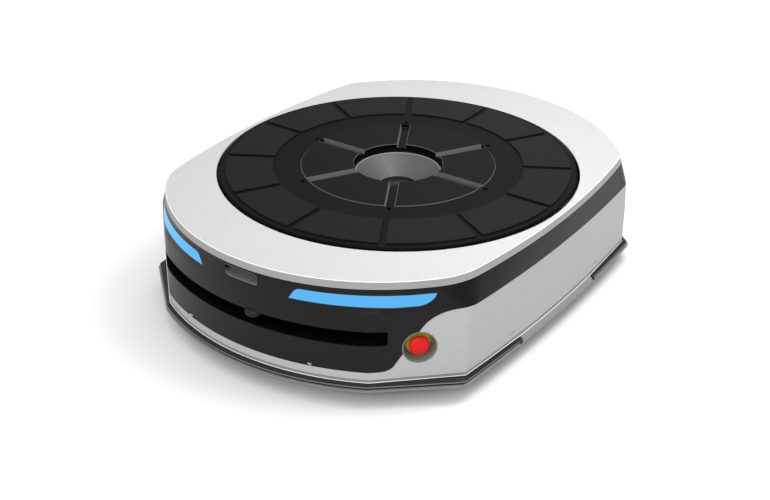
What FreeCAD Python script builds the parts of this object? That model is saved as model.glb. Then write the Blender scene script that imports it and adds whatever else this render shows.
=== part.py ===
import FreeCAD, Part
import math
import os

V = FreeCAD.Vector
X, Y, Z = V(1, 0, 0), V(0, 1, 0), V(0, 0, 1)
ORIGIN = V(0, 0, 0)

# Lifting mobile robot. Millimetres, floor at z = 0, centre of the plan at x = y = 0.
# The front faces -Y and the long side of the robot runs along Y.
GAP = 0.3                 # clearance left between neighbouring pieces
SEAM_GAP = 0.2            # half of a hairline joint between two covers
SKIN = 4.0                # wall of the outer covers
SHADOW = 0.8              # width of the groove where one piece rests on another

# Heights of the skin's levels above the floor.
Z_DECK = 265.0            # painted deck around the turntable
Z_BEVEL = 249.6           # lower edge of the deck's bevelled border
Z_BAND = 202.6            # lower edge of the black band along the sides
Z_CREASE = 141.2          # widest line of the body
Z_SEAM = 59.3             # lower edge of the body shell
Z_LEDGE = 52.9            # underside of the tray's ledge, over the bumper
Z_RIDGE = 46.8            # ridge halfway down the bumper
Z_LIP = 40.4              # top of the tray's bottom lip
Z_BASE = 33.0             # underside of the robot: its ground clearance

# Each level's plan: a wide front arc, a straight chamfer and a wide side arc, blended at both
# corners and mirrored to the other three quarters. length and width are half sizes.
LEVELS = {
    "deck": dict(z=Z_DECK, length=524.5, front_r=457, corner_x=323.5, chamfer=46.5,
                 width=406.0, side_r=1868, nose_r=312, flank_r=164, rear_flank_r=78),
    "bevel": dict(z=Z_BEVEL, length=527.3, front_r=460, corner_x=320.0, chamfer=46.3,
                  width=408.7, side_r=1950, nose_r=312, flank_r=156, rear_flank_r=76),
    "band": dict(z=Z_BAND, length=530.4, front_r=507, corner_x=281.0, chamfer=44.5,
                 width=415.3, side_r=3120, nose_r=195, flank_r=70, rear_flank_r=50),
    "crease": dict(z=Z_CREASE, length=533.5, front_r=542, corner_x=259.4, chamfer=43.96,
                   width=412.6, side_r=3300, nose_r=156, flank_r=8, rear_flank_r=8),
    "seam": dict(z=Z_SEAM, length=534.3, front_r=542, corner_x=259.4, chamfer=43.96,
                 width=411.5, side_r=3470, nose_r=40, flank_r=8, rear_flank_r=8),
    "ledge": dict(z=Z_LEDGE, length=536.3, front_r=538, corner_x=259.4, chamfer=42.5,
                  width=413.4, side_r=3510, nose_r=16, flank_r=12, rear_flank_r=12),
    "ridge": dict(z=Z_RIDGE, length=543.3, front_r=542, corner_x=260.5, chamfer=41.5,
                  width=418.5, side_r=3900, nose_r=16, flank_r=14, rear_flank_r=14),
    "foot": dict(z=41.0, length=546.0, front_r=542, corner_x=260.5, chamfer=41.05,
                 width=421.2, side_r=3980, nose_r=16, flank_r=16, rear_flank_r=16),
}

# Turntable and lift.
TABLE_R = 390.0           # radius of the turntable
TABLE_FLOOR = 270.0       # its flat face, which the pads stand on
PAD_TOP = 273.0
PAD_R_IN, PAD_R_OUT = 273.0, 376.0
PAD_COUNT = 12
PAD_SPACE = 13.0          # width of the lane between two pads
DECK_HOLE_R = 396.0
HUB_R = 213.0             # slotted centre plate
HUB_TOP, HUB_BASE = 271.5, 260.0
HUB_HOLE_R = 97.5
SLOT_COUNT = 6
SLOT_WIDTH, SLOT_FLOOR = 20.0, 262.5
BOLT_CIRCLE_R = 224.0     # six threaded holes beside the slots' outer ends
BOLT_R = 4.25
TABLE_BASE = 254.0        # underside of the turntable's boss
LIFT_Z = 228.0            # underside of the lift platform
PLATFORM_T = 8.0
CYLINDERS = [(sx * 170.0, sy * 235.0) for sx in (-1, 1) for sy in (-1, 1)]
ROD_R, ROD_FIT = 12.0, 0.05

# Slewing drive.
GEAR_MODULE = 6.0
RING_TEETH, PINION_TEETH = 60, 14
RING_PITCH_R = GEAR_MODULE * RING_TEETH / 2
PINION_PITCH_R = GEAR_MODULE * PINION_TEETH / 2
PINION_X = RING_PITCH_R + PINION_PITCH_R
GEAR_Z, GEAR_T = 238.0, 16.0

# Wheels.
WHEEL_R, WHEEL_W, WHEEL_X = 90.0, 50.0, 345.0
SHAFT_R = 12.4
CASTER_R, CASTER_W = 37.5, 30.0
CASTER_TRAIL = 22.0
CASTERS = {"front_left": (-240.0, -375.0), "front_right": (240.0, -375.0),
           "rear_left": (-240.0, 365.0), "rear_right": (240.0, 365.0)}
CHASSIS_Z, CHASSIS_T = 110.0, 8.0

SCANNER_Y = -486.0        # axis of the laser scanner behind the front slot

# Emergency stops, on the two front chamfers.
STOP_AT = V(329.5, -400.0, 124.5)
STOP_R, STOP_DEPTH = 34.5, 22.0
STOP_ANGLE = 43.96

BUMPER_END = 156.0        # where each bumper's arms end, from the middle of the side
BUMPER_CAP = 5.0
BUMPER_GROOVE = 2.5       # depth of the groove between the bumper's ridge and the tray's lip
RIDGE_FACE = 1.6          # height of the ridge's upright face

BODY_LEVELS = ["bevel", "band", "crease", "seam"]
SCALLOP_TOP = Z_BAND      # the fascia's lower edge runs level, dips past each corner and ends here
FASCIA_BASE = 75.5
COVER_PARTING = 242.0     # where the front and rear fascias meet the side bands
FAR = 700.0               # beyond every outer face


def box(x0, x1, y0, y1, z0, z1):
    return Part.makeBox(x1 - x0, y1 - y0, z1 - z0, V(x0, y0, z0))


def rod(radius, start, end):
    along = end - start
    return Part.makeCylinder(radius, along.Length, start, along)


def tube(r_in, r_out, z0, z1, centre=(0, 0)):
    a, b = V(centre[0], centre[1], z0), V(centre[0], centre[1], z1)
    return rod(r_out, a, b).cut(rod(r_in, a - Z, b + Z))


def spun(points, at=ORIGIN, axis=Z):
    """Solid of revolution: (radius, height) points turned round an axis through at."""
    wire = Part.makePolygon([V(r, 0, h) for r, h in points + points[:1]])
    solid = Part.Face(wire).revolve(ORIGIN, Z, 360)
    turn = FreeCAD.Rotation(Z, axis)
    solid.Placement = FreeCAD.Placement(at, turn)
    return solid


def prism(points, direction):
    return Part.Face(Part.makePolygon(points + points[:1])).extrude(direction)


def rounded(points, radii, direction):
    """Prism of a polygon whose corners are rounded, each with its own radius."""
    edges = []
    ends = []
    count = len(points)
    for i, (corner, r) in enumerate(zip(points, radii)):
        before = points[i - 1] - corner
        after = points[(i + 1) % count] - corner
        if r <= 0:
            ends.append((corner, corner))
            continue
        half = before.getAngle(after) / 2
        before.normalize()
        after.normalize()
        reach = r / math.tan(half)
        middle = before + after
        middle.normalize()
        a, b = corner + before * reach, corner + after * reach
        top = corner + middle * (r / math.sin(half) - r)
        ends.append((a, b))
        edges.append(Part.Arc(a, top, b).toShape())
    for i in range(count):
        a, b = ends[i][1], ends[(i + 1) % count][0]
        if (b - a).Length > 1e-6:
            edges.append(Part.makeLine(a, b))
    wire = Part.Wire(Part.__sortEdges__(edges))
    return Part.Face(wire).extrude(direction)


def mirrored(shape, normal):
    return shape.mirror(ORIGIN, normal)


def fused(shapes):
    return shapes[0].fuse(shapes[1:]).removeSplitter() if len(shapes) > 1 else shapes[0]


def save(shape, node):
    solids = shape.Solids
    body = solids[0] if len(solids) == 1 else Part.Compound(solids)
    body.exportStep("parts/" + node + ".step")


# --- plan outlines ------------------------------------------------------------------------

def line_meets_circle(start, way, centre, radius, sign):
    """Point of start + t * way on the circle, for the larger or the smaller t."""
    rel = start - centre
    b = (rel * way.conjugate()).real
    root = math.sqrt(b * b - abs(rel) ** 2 + radius * radius)
    return start + (-b + sign * root) * way


def blend(centre, radius, corner, way, inward, r, sign):
    """Tangent arc between the circle and the line through corner: its two ends and its centre."""
    mid = line_meets_circle(corner + inward * r, way, centre, radius - r, sign)
    on_circle = centre + (mid - centre) / abs(mid - centre) * radius
    on_line = mid - inward * r
    return on_circle, on_line, mid


def quarter(level, inset, rear):
    """Key points of one quarter in the plane, as complex numbers, from nose to flank."""
    front_r = level["front_r"] - inset
    front_c = complex(0, -level["length"] + level["front_r"])
    side_r = level["side_r"] - inset
    side_c = complex(level["width"] - level["side_r"], 0)
    way = complex(math.cos(math.radians(level["chamfer"])), math.sin(math.radians(level["chamfer"])))
    inward = way * 1j
    drop = math.sqrt(level["front_r"] ** 2 - level["corner_x"] ** 2)
    start = front_c + complex(level["corner_x"], -drop) + inward * inset
    nose = line_meets_circle(start, way, front_c, front_r, -1)
    flank = line_meets_circle(start, way, side_c, side_r, 1)
    nose_r = max(level["nose_r"] - inset, 2.0)
    flank_r = max(level["rear_flank_r" if rear else "flank_r"] - inset, 2.0)
    a1, b1, c1 = blend(front_c, front_r, nose, way, inward, nose_r, -1)
    a2, b2, c2 = blend(side_c, side_r, flank, way, inward, flank_r, 1)
    return a1, (c1, nose_r), b1, b2, (c2, flank_r), a2


def outline(name, inset=0.0, z=None):
    """Closed plan wire of a level, optionally set inwards and moved to another height."""
    level = LEVELS[name]
    z = level["z"] if z is None else z

    def at(p):
        return V(p.real, p.imag, z)

    def arc(a, b, centre, r):
        middle = (a + b) / 2 - centre
        return Part.Arc(at(a), at(centre + middle / abs(middle) * r), at(b)).toShape()

    edges = []
    front = quarter(level, inset, False)
    rear = quarter(level, inset, True)
    nose_tip = complex(0, -level["length"] + inset)
    flank_tip = complex(level["width"] - inset, 0)
    flips = [(front, lambda p: p), (rear, lambda p: p.conjugate()),
             (rear, lambda p: -p), (front, lambda p: -p.conjugate())]
    for step, (keys, flip) in enumerate(flips):
        a1, (c1, r1), b1, b2, (c2, r2), a2 = keys
        run = [("arc", a1, b1, c1, r1), ("line", b1, b2), ("arc", b2, a2, c2, r2)]
        if step % 2:
            run = [(k[0], k[2], k[1]) + tuple(k[3:]) for k in reversed(run)]
        for piece in run:
            if piece[0] == "arc":
                edges.append(arc(flip(piece[1]), flip(piece[2]), flip(piece[3]), piece[4]))
            else:
                edges.append(Part.makeLine(at(flip(piece[1])), at(flip(piece[2]))))
        # The wide arc that follows this quarter: a flank after steps 0 and 2, a nose after 1 and 3.
        end = flip(a1 if step % 2 else a2)
        if step % 2 == 0:
            other = flips[step + 1][1](flips[step + 1][0][5])
            tip = flank_tip if step == 0 else -flank_tip
        else:
            other_keys, other_flip = flips[(step + 1) % 4]
            other = other_flip(other_keys[0])
            tip = -nose_tip if step == 1 else nose_tip
        edges.append(Part.Arc(at(end), at(tip), at(other)).toShape())
    return Part.Wire(edges)


def skin_solid(names, inset=0.0, lift=0.0, drop=0.0):
    """Solid inside the given levels; lift and drop carry its ends straight past them."""
    wires = [outline(name, inset) for name in names]
    if lift:
        wires.insert(0, outline(names[0], inset, LEVELS[names[0]]["z"] + lift))
    if drop:
        wires.append(outline(names[-1], inset, LEVELS[names[-1]]["z"] - drop))
    return Part.makeLoft(wires, True, True)


def slab(name, inset, z0, z1):
    return Part.Face(outline(name, inset, z0)).extrude(V(0, 0, z1 - z0))


# --- covers -------------------------------------------------------------------------------

def scallop(gap):
    """Everything above the fascia's lower edge, as a prism right through the robot."""
    high, low = SCALLOP_TOP + gap, FASCIA_BASE + gap
    right = [(FAR, 300, 0), (FAR, high, 0), (348.9, high, 60), (288.4, low, 22)]
    left = [(-x, z, r) for x, z, r in reversed(right)]
    ring = right + left
    points = [V(x, -FAR, z) for x, z, r in ring]
    return rounded(points, [r for x, z, r in ring], V(0, 2 * FAR, 0))


def lamp_window(side, grow):
    """Prism of one light's outline in the front view, grown or shrunk by grow."""
    # Inner lower tip, inner upper corner, outer upper tip, outer lower corner.
    corners = [(107.0 - grow, 214.0 - grow), (121.5 - grow, 238.0 + grow),
               (348.5 + grow, 238.0 + grow), (344.5 + grow, 213.5 - grow)]
    radii = [1.5, 18.0, 1.5, 25.0]
    points = [V(side * x, -FAR, z) for x, z in corners]
    return rounded(points, radii, V(0, FAR, 0))


def make_covers():
    outer = skin_solid(BODY_LEVELS)
    inner = skin_solid(BODY_LEVELS, SKIN, 1.0, 1.0)
    wall = outer.cut(inner)
    above, below = scallop(SEAM_GAP), scallop(-SEAM_GAP)
    # The deck cover rests on the covers below it; a shadow groove runs along that joint.
    groove = slab("bevel", -5, Z_BEVEL - SHADOW, Z_BEVEL + 1).cut(slab("bevel", SHADOW + 0.6, 200, 300))
    upper = wall.common(above).cut(groove)
    outside, inside = COVER_PARTING + SEAM_GAP, COVER_PARTING - SEAM_GAP
    front = upper.common(box(-FAR, FAR, -FAR, -outside, 0, 400))
    rear = upper.common(box(-FAR, FAR, outside, FAR, 0, 400))
    band = upper.common(box(0, FAR, -inside, inside, 0, 400))

    # Lamps share the skin: each lens is the piece of wall that its window takes out.
    for side, hand in ((-1, "left"), (1, "right")):
        window, glass = lamp_window(side, 0.0), lamp_window(side, -GAP)
        lens = front.common(glass)
        front = front.cut(window)
        save(lens, "lamp_front_" + hand)
        save(rear.common(mirrored(glass, Y)), "lamp_rear_" + hand)
        rear = rear.cut(mirrored(window, Y))

    for side in (-1, 1):
        at, way = stop_frame(side)
        front = front.cut(rod(STOP_R, at - way * 40, at + way * 40))
    # Scan slot, with rounded ends.
    slot = [V(-285, -FAR, 134.5), V(285, -FAR, 134.5), V(285, -FAR, 164.5), V(-285, -FAR, 164.5)]
    front = front.cut(rounded(slot, [3, 3, 3, 3], V(0, FAR, 0)))
    front = front.cut(grip_prism(0.0))
    save(front, "front_fascia")
    save(rear, "rear_fascia")
    save(band, "side_band_right")
    save(mirrored(band, X), "side_band_left")

    shell = wall.cut(below)
    for side in (-1, 1):
        at, way = stop_frame(side)
        shell = shell.cut(rod(STOP_R, at - way * 40, at + way * 40))
        # Small drain slots low on each side.
        for end in (-1, 1):
            mid = V(side * 380, end * 178, 73.2)
            dash = [mid + V(0, -8, -1.3), mid + V(0, 8, -1.3), mid + V(0, 8, 1.3), mid + V(0, -8, 1.3)]
            shell = shell.cut(rounded(dash, [1.2, 1.2, 1.2, 1.2], V(side * 80, 0, 0)))
    save(shell, "body_shell")


def make_deck():
    border = skin_solid(["deck", "bevel"])
    hollow = slab("bevel", SKIN + 3, Z_BEVEL - 1, Z_DECK - 5)
    deck = border.cut(hollow).cut(rod(DECK_HOLE_R, V(0, 0, 200), V(0, 0, 300)))
    save(deck, "deck_cover")


# --- front details ------------------------------------------------------------------------

def grip_prism(grow):
    """Opening of the finger grip in the front view."""
    points = [V(-44 - grow, -FAR, 246 + grow), V(44 + grow, -FAR, 246 + grow),
              V(40 + grow, -FAR, 220 - grow), V(-40 - grow, -FAR, 220 - grow)]
    return rounded(points, [4, 12, 8, 14], V(0, FAR, 0))


def make_grip():
    back = -512.0
    block = grip_prism(-GAP).common(skin_solid(BODY_LEVELS, 0.4))
    block = block.common(box(-60, 60, -FAR, back, 200, 260))
    hollow = [V(-60, -540, 223), V(-60, back - 3, 228), V(-60, back - 3, 243.5), V(-60, -540, 244.5)]
    cavity = prism(hollow, V(120, 0, 0)).common(grip_prism(-2.5))
    save(block.cut(cavity), "front_grip")


def make_clips():
    clips = []
    for x in (-152.0, 148.0):
        y = -math.sqrt(542 ** 2 - x * x) + 8.5
        tab = rounded([V(x - 8, y - 1, 78.5), V(x + 8, y - 1, 78.5), V(x + 8, y - 1, 82.5),
                       V(x - 8, y - 1, 82.5)], [1.5, 1.5, 1.5, 1.5], V(0, 8, 0))
        clips.append(tab.cut(skin_solid(BODY_LEVELS, -GAP)))
    return clips


def make_scan_bay():
    """Channel behind the scan slot: floor, roof with the scanner's hole, and a flat back wall."""
    back_y = -425.0
    outer = skin_solid(BODY_LEVELS, SKIN).common(box(-300, 300, -FAR, back_y, 130.5, 168.5))
    hollow = skin_solid(BODY_LEVELS, SKIN - 3).common(box(-296, 296, -FAR, back_y - 3, 133.5, 165.5))
    bay = outer.cut(hollow)
    bay = bay.cut(rod(36.0, V(0, SCANNER_Y, 160), V(0, SCANNER_Y, 180)))
    save(bay, "scan_bay")


def make_scanner():
    at = V(0, SCANNER_Y, 0)
    body = spun([(0, 166), (28, 166), (31, 169), (31, 205), (25, 210), (0, 210)], at)
    body = body.cut(rod(6.05, at + Z * 160, at + Z * 196))
    save(body, "scanner_body")
    rotor = spun([(0, 148.4), (17.5, 148.4), (21.5, 152.5), (21.5, 165.4), (6, 165.4), (6, 195.5),
                  (0, 195.5)], at)
    save(rotor, "scanner_rotor")


def stop_frame(side):
    """Centre of an emergency stop's recess on the skin, and the outward direction there."""
    angle = math.radians(STOP_ANGLE)
    at = V(side * STOP_AT.x, STOP_AT.y, STOP_AT.z)
    return at, V(side * math.sin(angle), -math.cos(angle), 0)


def make_stops():
    for side, hand in ((-1, "left"), (1, "right")):
        at, way = stop_frame(side)
        rim, floor = STOP_R - GAP, -STOP_DEPTH
        cup = spun([(rim, -0.6), (rim, floor - 2), (12.3, floor - 2), (12.3, floor), (27, floor),
                    (rim - 2.2, -0.6)], at, way)
        save(cup, "stop_cup_" + hand)
        ring = spun([(12.3, floor), (24.5, floor), (24.5, floor + 2), (22.5, floor + 3.2),
                     (12.3, floor + 3.2)], at, way)
        save(ring, "stop_ring_" + hand)
        head = spun([(0, 0.2), (9, -0.3), (15.5, -1.9), (19, -4.2), (20, -6.6), (19.4, -9.6),
                     (16.5, -12.2), (12, -12.8), (12, -30), (0, -30)], at, way)
        save(head, "stop_head_" + hand)


# --- tray, bumpers and chassis ------------------------------------------------------------

def make_tray():
    core_inset, core_wall = 16.0, 5.0
    ledge = slab("seam", 0.0, Z_LEDGE, Z_SEAM - SHADOW).fuse(slab("seam", 1.6, Z_LEDGE, Z_SEAM))
    core = slab("seam", core_inset, Z_BASE, Z_LEDGE + 1)
    hollow = slab("seam", core_inset + core_wall, Z_BASE + 4, Z_SEAM + 1)
    lip = Part.makeLoft([outline("foot", 0.0, Z_LIP), outline("foot", 1.0, 36.0),
                         outline("foot", 8.0, Z_BASE)], True, True)
    rail_half = BUMPER_END - 5
    rail = skin_solid(["ledge", "ridge", "foot"], 0.6, 0.1, 0.8)
    rail = rail.common(box(-FAR, FAR, -rail_half, rail_half, 0, 400))
    tray = fused([ledge, core, lip, rail]).cut(hollow)
    for side in (-1, 1):
        tray = tray.cut(rounded_box(side * WHEEL_X, 0, WHEEL_W + 16, 172, 20, Z_BASE - 5, Z_BASE + 10))
    for x, y in CASTERS.values():
        tray = tray.cut(rod(67.0, V(x, y, Z_BASE - 5), V(x, y, Z_BASE + 12)))
    tray = tray.cut(rod(46.0, V(0, 0, Z_BASE - 5), V(0, 0, Z_BASE + 10)))
    save(tray, "base_tray")


def rounded_box(cx, cy, sx, sy, r, z0, z1):
    points = [V(cx + dx * sx / 2, cy + dy * sy / 2, z0) for dx, dy in ((-1, -1), (1, -1), (1, 1), (-1, 1))]
    return rounded(points, [r] * 4, V(0, 0, z1 - z0))


def make_bumpers():
    """Bumper strips: a slope down to a ridge, then a groove above the lip; full caps at the ends."""
    top, foot = Z_LEDGE - 0.5, Z_LIP + 0.6
    between = box(-FAR, FAR, -FAR, FAR, foot, top)
    core = slab("seam", 9.5, 20, 80)
    full = skin_solid(["ledge", "ridge", "foot"]).common(between).cut(core)
    ridge = skin_solid(["ledge", "ridge"], drop=RIDGE_FACE).common(between)
    grooved = ridge.fuse(slab("ridge", BUMPER_GROOVE, foot, Z_RIDGE)).removeSplitter().cut(core)
    joint = BUMPER_END + BUMPER_CAP
    strip = grooved.common(box(-FAR, FAR, -FAR, -joint, 0, 400))
    caps = full.common(box(-FAR, FAR, -joint, -BUMPER_END, 0, 400))
    for shape, node in ((strip, "bumper_{}"), (caps, "bumper_caps_{}")):
        save(shape, node.format("front"))
        save(mirrored(shape, Y), node.format("rear"))


def make_chassis():
    """Load plate under the lift: pressed flanges, wheel arches and holes for what passes it."""
    z0, z1 = CHASSIS_Z, CHASSIS_Z + CHASSIS_T
    half_x, half_y = 384.0, 440.0
    points = [V(-half_x, -290, z0), V(-half_x, 290, z0), V(-230, half_y, z0), V(230, half_y, z0),
              V(half_x, 290, z0), V(half_x, -290, z0), V(230, -half_y, z0), V(-230, -half_y, z0)]
    plate = rounded(points, [30] * 8, V(0, 0, CHASSIS_T))
    pieces = [plate]
    # Stiffening ribs under the plate, and feet down to the tray.
    for sx in (-1, 1):
        pieces.append(box(sx * 105 - 4, sx * 105 + 4, -430, 430, z0 - 22, z0 + 1))
        for sy in (-1, 1):
            foot = rod(14, V(sx * 355, sy * 200, Z_BASE + 4), V(sx * 355, sy * 200, z0 + 1))
            pieces.append(foot)
            post = rod(14, V(sx * 80, sy * 420, Z_BASE + 4), V(sx * 80, sy * 420, z0 + 1))
            pieces.append(post)
    for sy in (-1, 1):
        pieces.append(box(-380, 380, sy * 150 - 4, sy * 150 + 4, z0 - 22, z0 + 1))
    # Brackets that carry the two drive units.
    for sx in (-1, 1):
        pieces.append(box(sx * 290 - 5, sx * 290 + 5, -70, 70, Z_BASE + 4, z0 + 1))
    plate = fused(pieces)
    for sx in (-1, 1):
        arch = rounded_box(sx * WHEEL_X, 0, WHEEL_W + 18, 206, 20, 80, 140)
        plate = plate.cut(arch)
        plate = plate.cut(rod(44.2, V(sx * 234, 0, WHEEL_R), V(sx * 320, 0, WHEEL_R)))
        plate = plate.cut(rod(35.0, V(sx * 112, 0, WHEEL_R), V(sx * 240, 0, WHEEL_R)))
    for x, y in CYLINDERS:
        plate = plate.cut(rod(30.2, V(x, y, 60), V(x, y, 150)))
    plate = plate.cut(rod(34.2, V(0, 0, 60), V(0, 0, 150)))
    save(plate, "chassis_frame")


def make_drives():
    for side, hand in ((-1, "left"), (1, "right")):
        at, way = V(0, 0, WHEEL_R), X * side
        unit = spun([(0, 118), (30, 118), (34, 122), (34, 236), (44, 236), (44, 308), (32, 308),
                     (32, 314), (SHAFT_R + 0.05, 314), (SHAFT_R + 0.05, 280), (0, 280)], at, way)
        save(unit, "drive_unit_" + hand)
        near, far = WHEEL_X - WHEEL_W / 2, WHEEL_X + WHEEL_W / 2
        # Hub and its stub shaft are one turned piece; the shaft runs in the drive unit's bore.
        hub = spun([(0, 281), (SHAFT_R, 281), (SHAFT_R, near + 2), (28, near + 2), (30, near + 18),
                    (66, near + 20), (70, near + 2), (78, near + 2), (78, far - 2), (70, far - 2),
                    (66, far - 20), (30, far - 18), (26, far - 4), (0, far - 4)], at, way)
        for k in range(5):
            angle = math.radians(72 * k)
            spot = at + V(0, math.cos(angle), math.sin(angle)) * 48
            hub = hub.cut(rod(8, spot + way * near, spot + way * 400))
        save(hub, "drive_hub_" + hand)
        tyre = spun([(78, near), (WHEEL_R - 3, near), (WHEEL_R, near + 3), (WHEEL_R, far - 3),
                     (WHEEL_R - 3, far), (78, far)], at, way)
        save(tyre, "drive_tyre_" + hand)


def make_casters():
    plates = []
    bolts = []
    for name, (x, y) in CASTERS.items():
        at = V(x, y, 0)
        mount = rounded_box(x, y, 96, 96, 10, 104, CHASSIS_Z)
        race = spun([(0, 104.5), (27, 104.5), (27, 98.4), (8, 98.4), (8, 83.6), (12, 83.6), (12, 79),
                     (0, 79)], at)
        plate = mount.fuse(race).removeSplitter()
        for dx in (-36, 36):
            for dy in (-36, 36):
                spot = at + V(dx, dy, 0)
                plate = plate.cut(rod(4.5, spot + Z * 100, spot + Z * 112))
                head = Part.Face(Part.makePolygon(
                    [spot + V(6.5 * math.cos(a), 6.5 * math.sin(a), 98.5)
                     for a in [math.radians(60 * k) for k in range(7)]])).extrude(Z * 5.5)
                bolts.append(head)
        plates.append(plate)
        axle_at = at + V(0, CASTER_TRAIL, CASTER_R)
        crown = tube(8.05, 32, 84, 97.9, (x, y))
        legs = []
        for sx in (-1, 1):
            inner = CASTER_W / 2 + 2
            outline_yz = [V(sx * inner, -22, 84.5), V(sx * inner, 24, 84.5),
                          V(sx * inner, CASTER_TRAIL + 13, CASTER_R - 6),
                          V(sx * inner, CASTER_TRAIL + 6, CASTER_R - 13),
                          V(sx * inner, CASTER_TRAIL - 6, CASTER_R - 13),
                          V(sx * inner, CASTER_TRAIL - 13, CASTER_R - 3)]
            leg = rounded([p + at for p in outline_yz], [0, 0, 6, 6, 6, 6], V(sx * 4, 0, 0))
            legs.append(leg)
        # The axle is riveted into both legs, so it is one with them.
        fork = fused([crown] + legs + [rod(6, axle_at - X * 23, axle_at + X * 23)])
        save(fork, "caster_fork_" + name)
        half = CASTER_W / 2
        wheel = spun([(6.05, -half + 0.5), (13, -half + 0.5), (15, -7), (27, -7), (29, -half + 1),
                      (35, -half), (CASTER_R, -half + 4), (CASTER_R, half - 4), (35, half),
                      (29, half - 1), (27, 7), (15, 7), (13, half - 0.5), (6.05, half - 0.5)],
                     axle_at, X)
        save(wheel, "caster_wheel_" + name)
    save(Part.Compound(plates), "caster_plates")
    save(Part.Compound(bolts), "caster_bolts")


# --- lift, slewing drive and turntable ----------------------------------------------------

def gear(teeth, bore, z0, thickness, phase, backlash):
    """Spur gear with involute flanks, each flank taken as a few points of the involute."""
    pitch_r = GEAR_MODULE * teeth / 2
    pressure = math.radians(20)
    base_r = pitch_r * math.cos(pressure)
    tip_r = pitch_r + 0.95 * GEAR_MODULE
    root_r = pitch_r - 1.25 * GEAR_MODULE

    def half_angle(r):
        """Half of the tooth's angular thickness at radius r."""
        at_pitch = math.pi / (2 * teeth) - backlash / (2 * pitch_r)
        if r <= base_r:
            r = base_r
        a = math.acos(base_r / r)
        return at_pitch + (math.tan(pressure) - pressure) - (math.tan(a) - a)

    radii = [root_r, max(base_r, root_r + 0.6), pitch_r, tip_r]
    points = []
    for k in range(teeth):
        mid = 2 * math.pi * k / teeth + phase
        flank = [(r, mid - half_angle(r)) for r in radii]
        flank += [(r, mid + half_angle(r)) for r in reversed(radii)]
        points += [V(r * math.cos(a), r * math.sin(a), z0) for r, a in flank]
    body = prism(points, V(0, 0, thickness))
    return body.cut(rod(bore, V(0, 0, z0 - 1), V(0, 0, z0 + thickness + 1))) if bore else body


def make_lift():
    z0, z1 = LIFT_Z, LIFT_Z + PLATFORM_T
    # Platform: a waisted plate that reaches the four lifting rods and the slewing motor.
    points = [V(-205, -265, z0), V(205, -265, z0), V(268, -120, z0), V(268, 120, z0),
              V(205, 265, z0), V(-205, 265, z0), V(-268, 120, z0), V(-268, -120, z0)]
    plate = rounded(points, [30] * 8, V(0, 0, PLATFORM_T))
    for side in (-1, 1):
        plate = plate.cut(rounded_box(0, side * 205, 180, 60, 20, z0 - 1, z1 + 1))
    plate = plate.cut(rod(46.5, V(0, 0, z0 - 1), V(0, 0, z1 + 1)))
    plate = plate.cut(rod(10, V(PINION_X, 0, z0 - 1), V(PINION_X, 0, z1 + 1)))
    # The cone's well is cut where it passes the plate.
    well = spun([(0, z0 - 1), (62, z0 - 1), (76, z1 + 1), (0, z1 + 1)])
    plate = plate.cut(well)
    save(plate, "lift_platform")

    rods = [rod(ROD_R, V(x, y, 122), V(x, y, z0)) for x, y in CYLINDERS]
    save(Part.Compound(rods), "lift_rods")
    barrels = []
    for x, y in CYLINDERS:
        bore = ROD_R + ROD_FIT
        barrels.append(spun([(0, 70), (24, 70), (30, 76), (30, CHASSIS_Z + CHASSIS_T),
                             (40, CHASSIS_Z + CHASSIS_T), (40, 125), (30, 125), (30, 186), (24, 192),
                             (bore, 192), (bore, 120), (0, 120)], V(x, y, 0)))
    save(Part.Compound(barrels), "lift_cylinders")

    # Funnel below the table's centre hole, with the camera's collar at its foot.
    rim_r, rim_z, neck_r, neck_z = 93.6, 253.2, 42.0, 218.0
    cone = spun([(neck_r, neck_z), (rim_r, rim_z), (rim_r + 1.6, rim_z - 0.8), (rim_r - 1.5, rim_z - 4.2),
                 (neck_r + 2.5, neck_z - 1.8), (neck_r + 2.5, 206), (neck_r, 206)])
    save(cone, "camera_funnel")
    camera = spun([(0, 160), (30, 160), (36, 166), (36, 204), (neck_r - GAP, 204), (neck_r - GAP, 210),
                   (17, 210), (17, 207), (0, 207)])
    save(camera, "lift_camera")
    save(rod(16.5, V(0, 0, 207), V(0, 0, 209.5)), "camera_lens")

    race = spun([(102, z1), (150, z1), (150, z1 + 1.5), (135.6, z1 + 1.5), (135.6, 253.2), (102, 253.2)])
    save(race, "slewing_race")
    motor = spun([(0, 168), (26, 168), (30, 172), (30, 206), (36, 206), (36, z0), (7.05, z0),
                  (7.05, 212), (0, 212)], V(PINION_X, 0, 0))
    save(motor, "slewing_motor")

    ring = gear(RING_TEETH, 136.0, GEAR_Z, GEAR_T, 0.0, 0.5)
    save(ring, "slewing_gear")
    # The pinion is cut on the end of its own shaft.
    pinion = gear(PINION_TEETH, 0, GEAR_Z + 1, GEAR_T - 2, math.pi + math.pi / PINION_TEETH, 0.5)
    pinion = pinion.fuse(rod(7.0, V(0, 0, 213), V(0, 0, GEAR_Z + 2))).removeSplitter()
    pinion.translate(V(PINION_X, 0, 0))
    save(pinion, "slewing_pinion")


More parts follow.
